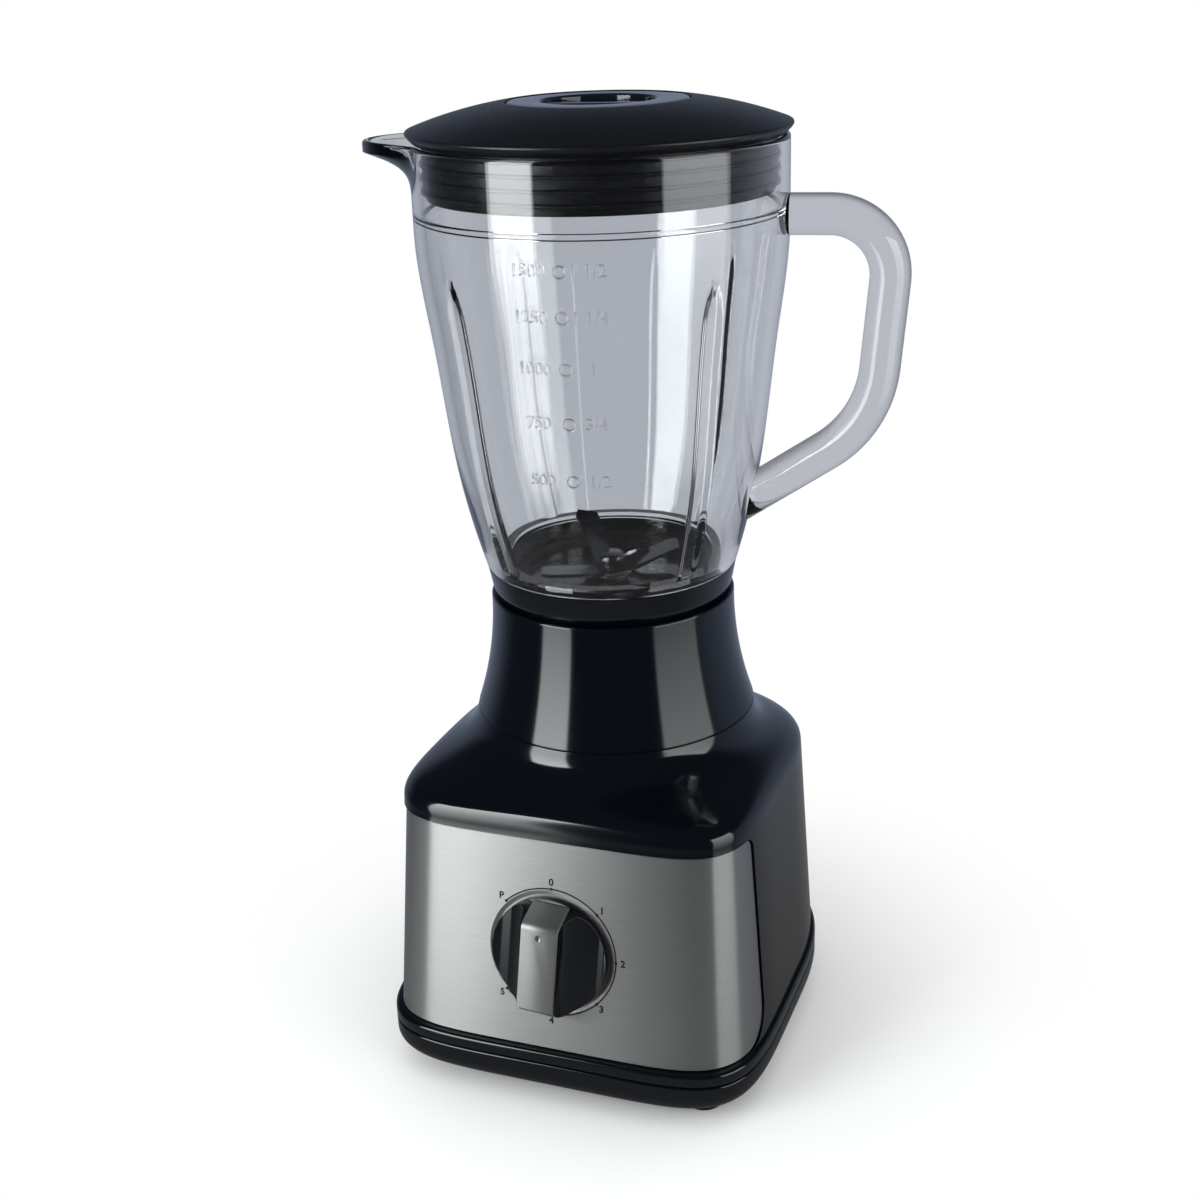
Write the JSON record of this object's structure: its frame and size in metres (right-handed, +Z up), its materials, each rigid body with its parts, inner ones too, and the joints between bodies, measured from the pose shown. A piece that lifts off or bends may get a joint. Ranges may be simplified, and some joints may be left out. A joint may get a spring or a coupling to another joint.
{
  "type": "countertop blender",
  "caption": "Countertop blender with a motor base, brushed steel panel with a rotary speed knob, glass jug with handle and spout, lift-off lid and stopper.",
  "frame": {"origin": "where the drive axis of motor and blades meets the worktop, level with the feet's soles", "axes": "+Z up along the drive axis, -Y towards the user on the dial side, +X to the user's right, where the jug's handle points"},
  "size_m": [0.2118, 0.1894, 0.3949],
  "materials": {
    "gloss_black": "injection-moulded ABS, polished",
    "satin_black": "injection-moulded plastic, fine grain",
    "panel_steel": "stainless sheet, brushed across",
    "jug_glass": "pressed soda-lime glass",
    "smoke_clear": "smoke-tinted clear plastic",
    "black_rubber": "moulded rubber",
    "blade_steel": "stainless sheet, ground",
    "plated_steel": "zinc-plated steel",
    "motor_iron": "stacked electrical steel",
    "enamel_copper": "enamelled copper wire",
    "sintered_bronze": "oil-filled sintered bronze",
    "cast_aluminium": "die-cast aluminium",
    "black_carbon": "pressed carbon",
    "grey_nylon": "glass-filled nylon"
  },
  "bodies": {
    "base": {"bottom_tray": "gloss_black", "rubber_feet": "black_rubber", "tray_screws": "plated_steel", "housing": "gloss_black", "front_panel": "panel_steel", "collar": "gloss_black", "jug_seat": "satin_black", "seat_screws": "plated_steel", "motor_lower_bracket": "cast_aluminium", "motor_upper_bracket": "cast_aluminium", "motor_lower_bearing": "sintered_bronze", "motor_upper_bearing": "sintered_bronze", "stator_core": "motor_iron", "field_coils": "enamel_copper", "motor_bolts": "plated_steel", "motor_dampers": "black_rubber", "motor_mount_screws": "plated_steel", "brush_holders": "grey_nylon", "carbon_brushes": "black_carbon", "brush_springs": "plated_steel", "speed_switch": "grey_nylon", "switch_nut": "plated_steel", "cord_gland": "satin_black", "suppressor": "grey_nylon"},
    "rotor": {"motor_shaft": "plated_steel", "armature_core": "motor_iron", "armature_winding": "enamel_copper", "commutator": "enamel_copper", "cooling_fan": "grey_nylon", "drive_coupling": "grey_nylon"},
    "jug": {"glass_jug": "jug_glass", "jug_base_ring": "satin_black", "jug_gasket": "black_rubber", "blade_carrier": "satin_black", "blade_bush": "sintered_bronze", "shaft_seal": "black_rubber"},
    "blades": {"blade_shaft": "plated_steel", "blade_washer": "plated_steel", "lower_blade": "blade_steel", "upper_blade": "blade_steel", "blade_nut": "blade_steel", "driven_coupling": "grey_nylon"},
    "lid": {"lid": "satin_black", "lid_seal": "black_rubber"},
    "stopper": {"stopper": "smoke_clear"},
    "knob": {"speed_knob": "gloss_black", "knob_plate": "panel_steel", "switch_spindle": "plated_steel"}
  },
  "joints": [
    {"name": "motor_spin", "type": "hinge", "parent": "base", "child": "rotor", "pos_m": [0, 0, 0.1], "axis": [0, 0, 1], "continuous": true},
    {"name": "jug_lift", "type": "slide", "parent": "base", "child": "jug", "axis": [0, 0, 1], "range_m": [0, 0.15]},
    {"name": "blade_spin", "type": "hinge", "parent": "jug", "child": "blades", "pos_m": [0, 0, 0.2], "axis": [0, 0, 1], "continuous": true},
    {"name": "lid_lift", "type": "slide", "parent": "jug", "child": "lid", "axis": [0, 0, 1], "range_m": [0, 0.08]},
    {"name": "stopper_lift", "type": "slide", "parent": "lid", "child": "stopper", "axis": [0, 0, 1], "range_m": [0, 0.06]},
    {"name": "knob_turn", "type": "hinge", "parent": "base", "child": "knob", "pos_m": [0, -0.08458, 0.0707], "axis": [0, 0.9945, -0.1045], "range_deg": [-48.8, 221.2]}
  ],
  "couplings": [
    {"joint": "blade_spin", "follows": "motor_spin", "ratio": 1}
  ]
}
